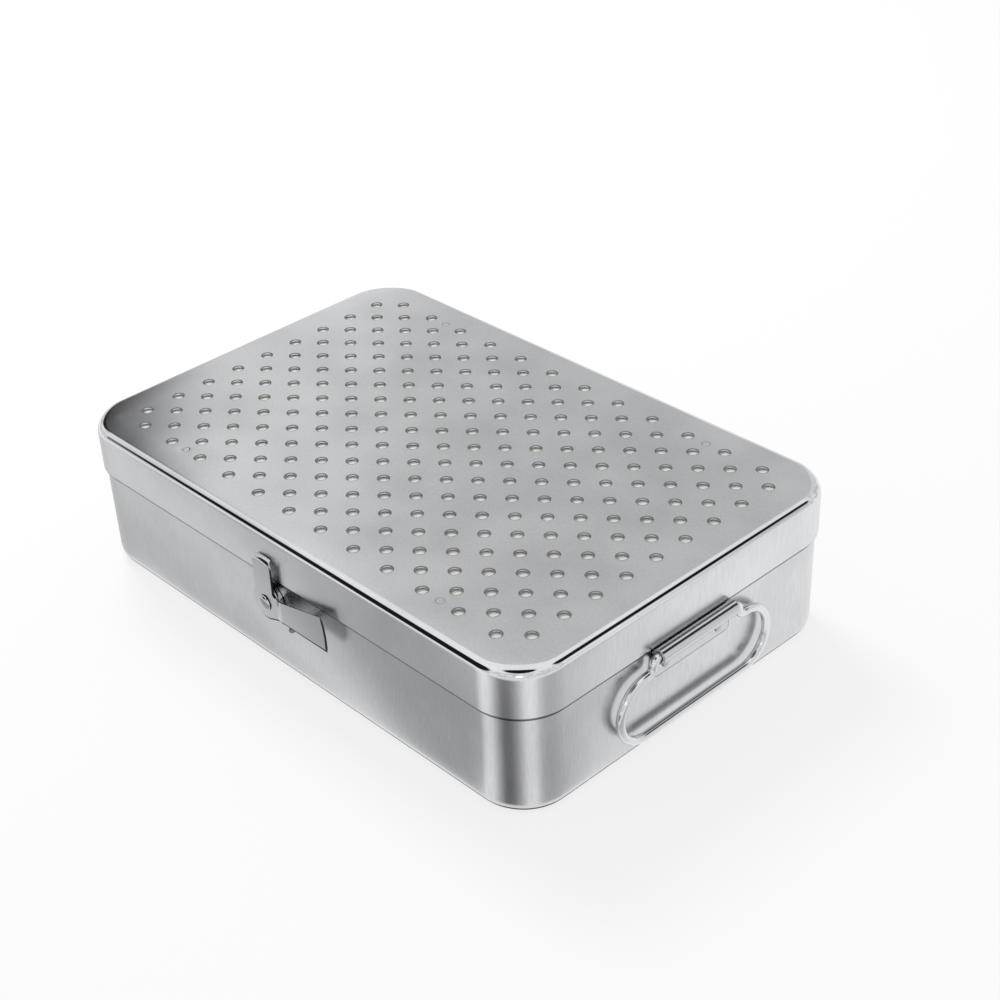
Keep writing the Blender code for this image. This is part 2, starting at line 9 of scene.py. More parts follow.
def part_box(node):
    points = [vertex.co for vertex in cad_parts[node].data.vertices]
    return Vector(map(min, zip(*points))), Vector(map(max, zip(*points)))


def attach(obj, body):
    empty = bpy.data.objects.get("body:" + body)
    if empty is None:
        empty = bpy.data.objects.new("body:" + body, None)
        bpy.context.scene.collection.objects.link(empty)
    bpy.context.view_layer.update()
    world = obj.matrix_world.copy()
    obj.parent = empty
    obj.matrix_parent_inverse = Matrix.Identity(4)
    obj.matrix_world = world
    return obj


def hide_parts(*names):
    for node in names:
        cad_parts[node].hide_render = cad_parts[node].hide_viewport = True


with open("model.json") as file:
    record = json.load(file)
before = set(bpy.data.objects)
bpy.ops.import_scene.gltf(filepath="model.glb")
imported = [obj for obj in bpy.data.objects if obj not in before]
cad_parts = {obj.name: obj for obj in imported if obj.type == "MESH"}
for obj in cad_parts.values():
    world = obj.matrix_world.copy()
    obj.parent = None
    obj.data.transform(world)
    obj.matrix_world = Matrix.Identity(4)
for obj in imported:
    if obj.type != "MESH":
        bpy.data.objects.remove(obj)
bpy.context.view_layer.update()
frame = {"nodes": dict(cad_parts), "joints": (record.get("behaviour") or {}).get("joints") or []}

# Base pan
# One sheet of 1 mm stainless steel, deep drawn over a rounded die, with a satin finish. The latch,
# its stop pin and the hinges of the handles are riveted to it.

PAN_SHEET = 0.0010
PAN_CORNER = 0.0235
PAN_FLOOR_EDGE = 0.0060
CORNER_FACETS = 20             # round a quarter of a corner
EDGE_FACETS = 8                # round a drawn edge
RIM_FACETS = 4                 # round the sheet's edge at the mouth
RIM_ROUND = 0.0003             # the sheet's deburred edge
SHARP_ABOVE = 40               # degrees between faces that aren't shaded as one
QUARTERS = ((1, 1), (-1, 1), (-1, -1), (1, -1))     # the corners, counter-clockwise
INSIDE_RING = EDGE_FACETS + RIM_FACETS + 1          # the first of the pan's rings on its inside
PAN_COLOURS = ("DFE0E2", "D3D4D7")
PAN_SLACK = 0.00015            # how uneven the flats of the pan are
# Roughness by height: burnished edge at the floor, satin wall above it
WALL_SHEEN = 0.26
PAN_SHEEN = ((0.0, 0.10), (0.0045, 0.12), (0.0080, WALL_SHEEN), (0.0720, WALL_SHEEN))
INSIDE_SHEEN = ((0.0, WALL_SHEEN), (0.1, WALL_SHEEN))
# A thin dark line of painted shade under the lid's skirt, for the shaded gap between lid and pan. It is drawn
# on the outside of the pan, as stops of rise from the skirt's edge and brightness, just below the wall that
# the skirt hides
PAN_PAINTED_SHADE = ((-0.0060, 1.0), (-0.0021, 1.0), (-0.0018, 0.20), (-0.0012, 0.20), (-0.0009, 1.0), (0.0, 1.0))
NO_PAINTED_SHADE = ((0.0, 1.0), (0.1, 1.0))


def linear(code):
    """An sRGB hex colour as a linear colour."""
    parts = [int(code[place:place + 2], 16) / 255 for place in (0, 2, 4)]
    return tuple(part / 12.92 if part <= 0.04045 else ((part + 0.055) / 1.055) ** 2.4
                 for part in parts) + (1.0,)


def grey(brightness):
    return (brightness, brightness, brightness, 1.0)


def add_node(tree, kind, settings=None, links=None, stops=()):
    """Add a shader node, set its options or sockets by name or number, and link its inputs. A ramp
    also has stops, as (place, colour)."""
    node = tree.nodes.new(kind)
    for key, value in (settings or {}).items():
        if isinstance(key, str) and hasattr(node, key):
            setattr(node, key, value)
        else:
            node.inputs[key].default_value = value
    for key, source in (links or {}).items():
        tree.links.new(source, node.inputs[key])
    if stops:
        elements = node.color_ramp.elements
        elements.remove(elements[0])
        elements[0].position, elements[0].color = stops[0]
        for place, colour in stops[1:]:
            elements.new(place).color = colour
    return node


def new_material(name):
    material = bpy.data.materials.new(name)
    material.use_nodes = True
    return material, material.node_tree, material.node_tree.nodes["Principled BSDF"]


def height_ramp(tree, place, stops):
    """A value that follows the height on the piece, through (metres, value) stops."""
    height = add_node(tree, "ShaderNodeSeparateXYZ", {}, {"Vector": place})
    low, high = stops[0][0], stops[-1][0]
    share = add_node(tree, "ShaderNodeMapRange", {"From Min": low, "From Max": high},
                     {"Value": height.outputs["Z"]})
    ramp = add_node(tree, "ShaderNodeValToRGB", {}, {"Fac": share.outputs["Result"]},
                    [((z - low) / (high - low), grey(value)) for z, value in stops])
    return ramp.outputs["Color"]


def satin_drawn_stainless(name, pale, dull, sheen, painted_shade, slack_height):
    """Satin 18/10 stainless sheet. Drawing leaves fine lines up the walls and a soft mottle on flats,
    burnishes the drawn edges, and leaves the flats a little uneven, so that they mirror in patches.
    sheen gives the roughness by height, and painted_shade the painted shade that darkens the colour by
    height."""
    material, tree, steel = new_material(name)
    place = add_node(tree, "ShaderNodeTexCoord").outputs["Object"]
    # Die lines 0.8 mm apart and 6 mm long are coarser than real ones, which would not show
    lines = add_node(tree, "ShaderNodeMapping", {"Scale": (1 / 0.0008, 1 / 0.0008, 1 / 0.006)},
                     {"Vector": place})
    grain = add_node(tree, "ShaderNodeTexNoise", {"Scale": 1.0, "Detail": 3.0, "Roughness": 0.65},
                     {"Vector": lines.outputs["Vector"]})
    # Handling marks about 40 mm across
    marks = add_node(tree, "ShaderNodeTexNoise", {"Scale": 1 / 0.040, "Detail": 2.0, "Roughness": 0.5},
                     {"Vector": place})
    tint = add_node(tree, "ShaderNodeValToRGB", {}, {"Fac": grain.outputs["Fac"]},
                    ((0.25, linear(dull)), (0.75, linear(pale))))
    cloudy = add_node(tree, "ShaderNodeValToRGB", {}, {"Fac": marks.outputs["Fac"]},
                      ((0.32, grey(0.88)), (0.66, grey(1.0))))
    clouded = add_node(tree, "ShaderNodeMix", {"data_type": "RGBA", "blend_type": "MULTIPLY", 0: 1.0},
                       {6: tint.outputs["Color"], 7: cloudy.outputs["Color"]})
    # Painted shade: the colour is darkened by height along the stops in painted_shade
    painted_shade_mix = add_node(tree, "ShaderNodeMix", {"data_type": "RGBA", "blend_type": "MULTIPLY", 0: 1.0},
                      {6: clouded.outputs[2], 7: height_ramp(tree, place, painted_shade)})
    # The rub is kept slight: with a wider range the outlines of its patches showed as faint lines
    rubbed = add_node(tree, "ShaderNodeMapRange", {"From Min": 0.3, "From Max": 0.7, "To Min": 0.90,
                                                   "To Max": 1.04}, {"Value": marks.outputs["Fac"]})
    roughness = add_node(tree, "ShaderNodeMath", {"operation": "MULTIPLY"},
                         {0: rubbed.outputs["Result"], 1: height_ramp(tree, place, sheen)})
    # Slack of the sheet, about 70 mm from crest to crest
    slack = add_node(tree, "ShaderNodeTexNoise", {"Scale": 1 / 0.070, "Detail": 0.0}, {"Vector": place})
    buckle = add_node(tree, "ShaderNodeBump", {"Strength": 1.0, "Distance": slack_height},
                      {"Height": slack.outputs["Fac"]})
    rub = add_node(tree, "ShaderNodeBump", {"Strength": 0.5, "Distance": 0.000003},
                   {"Height": grain.outputs["Fac"], "Normal": buckle.outputs["Normal"]})
    steel.inputs["Metallic"].default_value = 1.0
    tree.links.new(painted_shade_mix.outputs[2], steel.inputs["Base Color"])
    tree.links.new(roughness.outputs["Value"], steel.inputs["Roughness"])
    tree.links.new(rub.outputs["Normal"], steel.inputs["Normal"])
    return material


def arc(centre_u, centre_v, radius, start, end, steps):
    """Points on an arc, with angles in degrees, both ends included."""
    turns = [math.radians(start + (end - start) * step / steps) for step in range(steps + 1)]
    return [(centre_u + radius * math.cos(turn), centre_v + radius * math.sin(turn)) for turn in turns]


def box_ring(shape, half_x, half_y, corner, z):
    """Vertices of a level ring with rounded corners."""
    points = []
    for quarter, (side_x, side_y) in enumerate(QUARTERS):
        points += arc(side_x * (half_x - corner), side_y * (half_y - corner), corner,
                      90 * quarter, 90 * quarter + 90, CORNER_FACETS)
    return [shape.verts.new((x, y, z)) for x, y in points]


def bridge(shape, lower, upper, finish=0):
    """Join two loops of the same length with faces of the material with this number."""
    count = len(lower)
    for index in range(count):
        after = (index + 1) % count
        face = shape.faces.new((lower[index], lower[after], upper[after], upper[index]))
        face.material_index = finish


def floor_edge(half_x, half_y, corner, edge, flat_z):
    """Ring sizes of the drawn edge between the floor at flat_z and the wall, from the floor up."""
    rings = []
    for step in range(EDGE_FACETS + 1):
        turn = math.pi / 2 * step / EDGE_FACETS
        inset = edge * (1 - math.sin(turn))
        rings.append((half_x - inset, half_y - inset, corner - inset,
                      flat_z + edge * (1 - math.cos(turn))))
    return rings


def add_piece(name, shape, material, body, slot, *nodes):
    """Finish a mesh as a smooth piece that rides on a body and stands for CAD nodes."""
    bmesh.ops.recalc_face_normals(shape, faces=shape.faces)
    mesh = bpy.data.meshes.new(name)
    shape.to_mesh(mesh)
    shape.free()
    mesh.shade_smooth()
    mesh.set_sharp_from_angle(angle=math.radians(SHARP_ABOVE))
    mesh.materials.append(material)
    piece = bpy.data.objects.new(name, mesh)
    bpy.context.collection.objects.link(piece)
    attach(piece, body)
    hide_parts(*nodes)
    return piece


def even_shading(piece):
    """Let large flat faces set the shading beside small rounded ones."""
    weighting = piece.modifiers.new("even_shading", "WEIGHTED_NORMAL")
    weighting.keep_sharp = True


def mouth(half_x, half_y, corner, sheet, z, toward):
    """Ring sizes round a sheet's deburred edge at the mouth, outside first. toward is 1 where the
    mouth is above the wall and -1 where it is below."""
    rings = []
    for step in range(RIM_FACETS + 1):
        turn = math.pi * step / RIM_FACETS
        inset = sheet / 2 - sheet / 2 * math.cos(turn)
        rings.append((half_x - inset, half_y - inset, corner - inset,
                      z - toward * RIM_ROUND * (1 - math.sin(turn))))
    return rings


pan_low, pan_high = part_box("base_pan")
lid_low, lid_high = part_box("lid_shell")
pan_steel = satin_drawn_stainless("satin_stainless_pan", *PAN_COLOURS, PAN_SHEEN,
                                  [(lid_low.z + rise, shade) for rise, shade in PAN_PAINTED_SHADE], PAN_SLACK)
inside_steel = satin_drawn_stainless("satin_stainless_inside", *PAN_COLOURS, INSIDE_SHEEN, NO_PAINTED_SHADE,
                                     PAN_SLACK)
shape = bmesh.new()
sizes = floor_edge(pan_high.x, pan_high.y, PAN_CORNER, PAN_FLOOR_EDGE, pan_low.z)
sizes += mouth(pan_high.x, pan_high.y, PAN_CORNER, PAN_SHEET, pan_high.z, 1)
sizes += floor_edge(pan_high.x - PAN_SHEET, pan_high.y - PAN_SHEET, PAN_CORNER - PAN_SHEET,
                    PAN_FLOOR_EDGE - PAN_SHEET, pan_low.z + PAN_SHEET)[::-1]
rings = [box_ring(shape, *size) for size in sizes]
for place, (lower, upper) in enumerate(zip(rings, rings[1:])):
    bridge(shape, lower, upper, 1 if place >= INSIDE_RING else 0)
shape.faces.new(rings[0])
shape.faces.new(rings[-1]).material_index = 1
pan = add_piece("drawn_base_pan", shape, pan_steel, "base", "satin_stainless_steel", "base_pan")
pan.data.materials.append(inside_steel)
even_shading(pan)

# Lid
# A shallow drawn cap of the same sheet that slips over the pan. Its top is punched with round
# holes on every other point of a grid, and four spot welds leave faint rings in the last rows.

LID_SHEET = 0.0010
LID_CORNER = 0.0250
LID_TOP_EDGE = 0.0040
LID_WIDE_EDGE = 0.0049         # the drawn edge is wider round the corners
LID_SLACK = 0.00035            # how uneven the flat top is
HOLE_RADIUS = 0.0026
HOLE_EASE = 0.00022            # radius that the punch draws round a hole's upper edge
HOLE_SHADE_RING = 0.00022            # width of a dull ring of painted shade that draws the dark outline round each hole
HOLE_SIDES = 24
EASE_FACETS = 3
HOLE_PITCH = (0.01080, 0.00908)
HOLE_SPAN = (12, 9)            # columns and rows each side of the middle
WELD_SPOT = (8, 9)             # column and row of the four weld marks
WELD_RADIUS = 0.0021
WELD_DEPTH = 0.00006
WELD_DISH = ((1, 0), (0.86, 1), (0.62, 1), (0.45, 0.4))     # shares of that radius and depth
# Roughness by rise from the lid's top: satin wall, burnished edge, smoother top
LID_SHEEN = ((-0.0060, WALL_SHEEN), (-0.0031, 0.25), (-0.0024, 0.08), (-0.0004, 0.07),
             (-0.00005, 0.14), (0.0, 0.15))
# Painted shade along the skirt's lower edge, the upper part of the same dark line
LID_PAINTED_SHADE = ((0.0, 0.25), (0.0003, 0.35), (0.0006, 1.0), (0.0008, 1.0))


def tile_edge(column, row):
    """The points round one tile of the grid, one for each side of a hole, counter-clockwise from the
    middle of its +X side."""
    half_x, half_y = HOLE_PITCH[0] / 2, HOLE_PITCH[1] / 2
    per_side = HOLE_SIDES // 4
    half_side = per_side // 2
    points = []
    for index in range(HOLE_SIDES):
        side, along = divmod((index + half_side) % HOLE_SIDES, per_side)
        share = (along - half_side) / half_side
        points.append(((half_x, half_y * share), (-half_x * share, half_y),
                       (-half_x, -half_y * share), (half_x * share, -half_y))[side])
    return [(column * HOLE_PITCH[0] + x, row * HOLE_PITCH[1] + y) for x, y in points]


def shared_verts(shape, known, points, z):
    """Vertices at these points, taken from known where a neighbour has made them."""
    found = []
    for x, y in points:
        key = (round(x * 1e7), round(y * 1e7), round(z * 1e7))
        if key not in known:
            known[key] = shape.verts.new((x, y, z))
        found.append(known[key])
    return found


def dark_edge_steel(name, pale, dull):
    """Steel for the rim of a hole or plate: duller than the face beside it, as sheared steel is, and much
    darker as painted shade that outlines the edge.
    """
    material, tree, steel = new_material(name)
    place = add_node(tree, "ShaderNodeTexCoord").outputs["Object"]
    # Tear marks of the punch, drawn 0.3 mm across
    tears = add_node(tree, "ShaderNodeTexNoise", {"Scale": 1 / 0.0003, "Detail": 2.0}, {"Vector": place})
    tint = add_node(tree, "ShaderNodeValToRGB", {}, {"Fac": tears.outputs["Fac"]},
                    ((0.0, linear(dull)), (1.0, linear(pale))))
    steel.inputs["Metallic"].default_value = 1.0
    steel.inputs["Roughness"].default_value = 0.42
    tree.links.new(tint.outputs["Color"], steel.inputs["Base Color"])
    return material


def circle_verts(shape, centre, radius, z):
    return [shape.verts.new((x, y, z)) for x, y in arc(*centre, radius, 0, 360, HOLE_SIDES)[:-1]]


def punch_tiles(shape, top_z, under_z):
    """The perforated middle of the lid, upper and lower face, with each hole's rounded wall."""
    known = {}
    columns, rows = HOLE_SPAN
    for column in range(-columns, columns + 1):
        for row in range(-rows, rows + 1):
            centre = (column * HOLE_PITCH[0], row * HOLE_PITCH[1])
            upper = shared_verts(shape, known, tile_edge(column, row), top_z)
            under = shared_verts(shape, known, tile_edge(column, row), under_z)
            if (column + row) % 2 == 0:
                loops = [upper, circle_verts(shape, centre, HOLE_RADIUS + HOLE_EASE + HOLE_SHADE_RING, top_z)]
                for step in range(EASE_FACETS + 1):
                    turn = math.pi / 2 * step / EASE_FACETS
                    loops.append(circle_verts(shape, centre,
                                              HOLE_RADIUS + HOLE_EASE * (1 - math.sin(turn)),
                                              top_z - HOLE_EASE * (1 - math.cos(turn))))
                loops += [circle_verts(shape, centre, HOLE_RADIUS, under_z), under]
                # The ring and the rounded upper edge take the rim steel, whose dark is painted shade
                for place, (outer, inner) in enumerate(zip(loops, loops[1:])):
                    bridge(shape, outer, inner, 1 if 1 <= place <= EASE_FACETS + 1 else 0)
            elif (abs(column), abs(row)) == WELD_SPOT:
                loops = [upper] + [circle_verts(shape, centre, WELD_RADIUS * share, top_z - WELD_DEPTH * deep)
                                   for share, deep in WELD_DISH]
                for place, (outer, inner) in enumerate(zip(loops, loops[1:])):
                    bridge(shape, outer, inner, 1 if place == 1 else 0)
                shape.faces.new(loops[-1])
                shape.faces.new(under)
            else:
                shape.faces.new(upper)
                shape.faces.new(under)


def fill_border(shape, ring, z):
    """Fill between the punched middle and the ring where the lid's edge begins."""
    inner = [edge for edge in shape.edges if len(edge.link_faces) == 1
             and all(abs(vert.co.z - z) < 1e-6 and vert not in ring for vert in edge.verts)]
    outer = [edge for edge in shape.edges if all(vert in ring for vert in edge.verts)]
    bmesh.ops.triangle_fill(shape, use_beauty=True, use_dissolve=False, edges=inner + outer)


def lid_edge_ring(shape, sheet, turn):
    """One ring of the lid's drawn edge, which widens round the corners. sheet is how far the ring is
    inside the outer face, and turn runs from 0 at the flat top to a right angle at the wall."""
    corner = LID_CORNER - sheet
    points = []
    for quarter, (side_x, side_y) in enumerate(QUARTERS):
        for step in range(CORNER_FACETS + 1):
            share = step / CORNER_FACETS
            angle = math.pi / 2 * (quarter + share)
            edge = LID_TOP_EDGE + (LID_WIDE_EDGE - LID_TOP_EDGE) * math.sin(math.pi * share) ** 2 - sheet
            reach = corner - edge * (1 - math.sin(turn))
            points.append((side_x * (lid_high.x - LID_CORNER) + reach * math.cos(angle),
                           side_y * (lid_high.y - LID_CORNER) + reach * math.sin(angle),
                           lid_high.z - sheet - edge * (1 - math.cos(turn))))
    return [shape.verts.new(point) for point in points]


lid_steel = satin_drawn_stainless("satin_stainless_lid", "E8E9EB", "DDDEE1",
                                  [(lid_high.z + rise, rough) for rise, rough in LID_SHEEN],
                                  [(lid_low.z + rise, shade) for rise, shade in LID_PAINTED_SHADE], LID_SLACK)
shape = bmesh.new()
punch_tiles(shape, lid_high.z, lid_high.z - LID_SHEET)
turns = [math.pi / 2 * step / EDGE_FACETS for step in range(EDGE_FACETS + 1)]
rings = [lid_edge_ring(shape, 0, turn) for turn in turns]
rings += [box_ring(shape, *size)
          for size in mouth(lid_high.x, lid_high.y, LID_CORNER, LID_SHEET, lid_low.z, -1)]
rings += [lid_edge_ring(shape, LID_SHEET, turn) for turn in reversed(turns)]
for lower, upper in zip(rings, rings[1:]):
    bridge(shape, lower, upper)
fill_border(shape, set(rings[0]), lid_high.z)
fill_border(shape, set(rings[-1]), lid_high.z - LID_SHEET)
lid = add_piece("perforated_lid", shape, lid_steel, "lid", "satin_stainless_steel", "lid_shell")
# Painted shade: the rim steel is darker than the lid, to outline each hole
lid.data.materials.append(dark_edge_steel("punched_rim_painted_shade", "98999D", "6A6B6F"))
even_shading(lid)

# Filter
# A sheet of white filter paper lies under the holes on a flat steel frame. Four studs welded to
# the lid pass through both, and a round nut on each holds the frame up.

FILTER_THICK = 0.00032
FILTER_CELL = 0.004
FILTER_CORNER = 0.0170
PAPER_CRUMPLE = 0.00010        # how far the paper rises and falls
CRUMPLE_SPAN = 0.025           # about the width of one rise or fall
FRAME_SHEEN = ((0.0, 0.25), (0.1, 0.25))
STUD_RADIUS = 0.0015
STUD_SIDES = 24
STUD_EASE = 0.0003
NUT_BORE = 0.00165
NUT_SIDES = 36
NUT_EASE = 0.0004
KNURL_DEPTH = 0.05             # share of the nut's radius


def filter_paper(name):
    """Pressed cellulose: matt and near white, with a fibre mottle. The fibre is drawn 0.5 mm wide,
    coarser than the real 0.03 mm, so that it shows."""
    material, tree, paper = new_material(name)
    place = add_node(tree, "ShaderNodeTexCoord").outputs["Object"]
    fibre = add_node(tree, "ShaderNodeTexNoise", {"Scale": 1 / 0.0005, "Detail": 4.0, "Roughness": 0.7},
                     {"Vector": place})
    # Greyer than white paper: partly its own tone, partly painted shade for the dim gap under the lid
    tint = add_node(tree, "ShaderNodeValToRGB", {}, {"Fac": fibre.outputs["Fac"]},
                    ((0.0, linear("CECECA")), (1.0, linear("E6E6E2"))))
    felt = add_node(tree, "ShaderNodeBump", {"Strength": 0.6, "Distance": 0.00006},
                    {"Height": fibre.outputs["Fac"]})
    paper.inputs["Roughness"].default_value = 0.92
    tree.links.new(tint.outputs["Color"], paper.inputs["Base Color"])
    tree.links.new(felt.outputs["Normal"], paper.inputs["Normal"])
    return material


paper_low, paper_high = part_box("filter_sheet")
shape = bmesh.new()
cells = (round(2 * paper_high.x / FILTER_CELL), round(2 * paper_high.y / FILTER_CELL))
bmesh.ops.create_grid(shape, x_segments=cells[0], y_segments=cells[1], size=1)
corner_x, corner_y = paper_high.x - FILTER_CORNER, paper_high.y - FILTER_CORNER
for vert in shape.verts:
    x, y = vert.co.x * paper_high.x, vert.co.y * paper_high.y
    past_x = (abs(x) - corner_x) / FILTER_CORNER
    past_y = (abs(y) - corner_y) / FILTER_CORNER
    if past_x > 0 and past_y > 0:
        x = math.copysign(corner_x + FILTER_CORNER * past_x * math.sqrt(1 - past_y ** 2 / 2), x)
        y = math.copysign(corner_y + FILTER_CORNER * past_y * math.sqrt(1 - past_x ** 2 / 2), y)
    wave = noise.noise(Vector((x, y, 0)) / CRUMPLE_SPAN)
    vert.co = (x, y, (paper_low.z + paper_high.z) / 2 + PAPER_CRUMPLE * wave)
sheet = add_piece("filter_paper_sheet", shape, filter_paper("white_filter_paper"), "lid",
                  "filter_paper", "filter_sheet")
thickness = sheet.modifiers.new("thickness", "SOLIDIFY")
thickness.thickness = FILTER_THICK
thickness.offset = 0

frame_steel = satin_drawn_stainless("satin_stainless_frame", "D0D1D3", "C0C1C4", FRAME_SHEEN, NO_PAINTED_SHADE, 0.0)
# The frame is plain enough to keep its CAD mesh
flat_frame = frame["nodes"]["filter_frame"]
flat_frame.data.materials.clear()
flat_frame.data.materials.append(frame_steel)


def turned(shape, profile, sides, place, turn=(0, 0, 0)):
    """Add a turned form to a mesh. Its profile is (radius, height) pairs and radius 0 closes it."""
    matrix = Matrix.Translation(place) @ Matrix.Rotation(turn[1], 4, "Y") @ Matrix.Rotation(turn[0], 4, "X")
    loops = []
    for radius, height in profile:
        spots = [(0, 0)] if radius == 0 else arc(0, 0, radius, 0, 360, sides)[:-1]
        loops.append([shape.verts.new(matrix @ Vector((x, y, height))) for x, y in spots])
    pairs = list(zip(loops, loops[1:]))
    if profile[0][0] > 0:
        pairs.append((loops[-1], loops[0]))
    for lower, upper in pairs:
        if len(lower) > 1 and len(upper) > 1:
            bridge(shape, lower, upper)
        else:
            tip, rim = (lower[0], upper) if len(lower) == 1 else (upper[0], lower)
            for index in range(sides):
                shape.faces.new((tip, rim[index], rim[(index + 1) % sides]))


def eased(radius, height, ease, outward):
    """Three profile points that round the outer corner at (radius, height), from the rim inward.
    outward is 1 at the upper end of the turned form and -1 at its lower end."""
    return [(radius - ease * (1 - math.cos(turn)), height + outward * -ease * (1 - math.sin(turn)))
            for turn in (0, math.pi / 4, math.pi / 2)]


for place in ("front_right", "back_right", "back_left", "front_left"):
    low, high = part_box("filter_stud_" + place)
    middle = ((low.x + high.x) / 2, (low.y + high.y) / 2, 0)
    shape = bmesh.new()
    turned(shape, [(0, low.z)] + eased(STUD_RADIUS, low.z, STUD_EASE, -1)[::-1]
           + [(STUD_RADIUS, high.z), (0, high.z)], STUD_SIDES, middle)
    add_piece("weld_stud_" + place, shape, frame_steel, "lid", "satin_stainless_steel",
              "filter_stud_" + place)
    low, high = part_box("filter_nut_" + place)
    radius = (high.y - low.y) / 2
    shape = bmesh.new()
    turned(shape, [(NUT_BORE, low.z)] + eased(radius, low.z, NUT_EASE, -1)[::-1]
           + eased(radius, high.z, NUT_EASE, 1) + [(NUT_BORE, high.z)], NUT_SIDES, middle)
    # Knurling: every other line of the rim is pressed in
    for vert in shape.verts:
        reach = vert.co - Vector((*middle[:2], vert.co.z))
        line = round(math.degrees(math.atan2(reach.y, reach.x)) * NUT_SIDES / 360)
        if reach.length > radius * 0.99 and line % 2:
            vert.co -= reach * KNURL_DEPTH
    add_piece("knurled_nut_" + place, shape, frame_steel, "lid", "satin_stainless_steel",
              "filter_nut_" + place)

# Latch
# One polished stamping 1.2 mm thick: a hub that turns on a rivet, a tab whose lip curls over the
# catch on the lid, and a lever that steps outward so that a finger gets behind it.

PLATE_SHEET = 0.0012
PLATE_EASE = 0.0003            # radius of the plate's rounded edges
DULL_SHADE_BAND = 0.0003             # along a plate's border; a band of painted shade that draws its dark outline
HUB_RADIUS = 0.0080
TAB_HALF = 0.0060
TAB_REACH = 0.0240
LIP_DEPTH = 0.0021             # from the middle of the sheet to the end of the curl
LIP_TAPER = 0.25
LEVER_REACH = 0.0430
LEVER_TOP = 0.0054
LEVER_TOP_END = 0.0126
LEVER_LOWER = 0.0037
LEVER_FILLET = 0.0015
BEND = (0.0080, 0.0060, 0.0015)    # where the step begins, its length and its height


def joint_pivot(name):
    return next(joint["pos_m"] for joint in frame["joints"] if joint["name"] == name)


def polished_stainless(name, pale, dull, roughness, scratch):
    """Mirror-polished stainless, handled until it has hairline scratches. They run along X and are
    drawn 0.4 mm apart, coarser than real ones."""
    material, tree, steel = new_material(name)
    place = add_node(tree, "ShaderNodeTexCoord").outputs["Object"]
    runs = add_node(tree, "ShaderNodeMapping", {"Scale": (1 / 0.012, 1 / 0.0004, 1 / 0.0004)},
                    {"Vector": place})
    hairs = add_node(tree, "ShaderNodeTexNoise", {"Scale": 1.0, "Detail": 3.0, "Roughness": 0.6},
                     {"Vector": runs.outputs["Vector"]})
    tint = add_node(tree, "ShaderNodeValToRGB", {}, {"Fac": hairs.outputs["Fac"]},
                    ((0.0, linear(dull)), (1.0, linear(pale))))
    gloss = add_node(tree, "ShaderNodeMapRange", {"From Min": 0.3, "From Max": 0.7,
                                                  "To Min": roughness * 0.8, "To Max": roughness * 1.3},
                     {"Value": hairs.outputs["Fac"]})
    score = add_node(tree, "ShaderNodeBump", {"Strength": 0.4, "Distance": scratch},
                     {"Height": hairs.outputs["Fac"]})
    steel.inputs["Metallic"].default_value = 1.0
    tree.links.new(tint.outputs["Color"], steel.inputs["Base Color"])
    tree.links.new(gloss.outputs["Result"], steel.inputs["Roughness"])
    tree.links.new(score.outputs["Normal"], steel.inputs["Normal"])
    return material


def plate_outline(fold_radius):
    """Outline of the flat blank about the rivet: u along the box, v up."""
    waist = BEND[0] + BEND[1]
    tab_turn = math.degrees(math.acos(TAB_HALF / fold_radius))
    points = arc(0, 0, fold_radius, tab_turn, 180 - tab_turn, 12)
    hub_left = math.degrees(math.acos(-TAB_HALF / HUB_RADIUS))
    hub_low = 360 - math.degrees(math.acos(HUB_RADIUS / math.hypot(waist, LEVER_LOWER))
                                 + math.atan2(LEVER_LOWER, waist))
    points += arc(0, 0, HUB_RADIUS, hub_left, hub_low, 32) + [(waist, -LEVER_LOWER)]
    low, high = (math.degrees(math.asin(reach / LEVER_REACH)) for reach in (-LEVER_LOWER, LEVER_TOP_END))
    points += arc(0, 0, LEVER_REACH, low, high, 12)
    return points + arc(TAB_HALF + LEVER_FILLET, LEVER_TOP + LEVER_FILLET, LEVER_FILLET, 270, 180, 8)


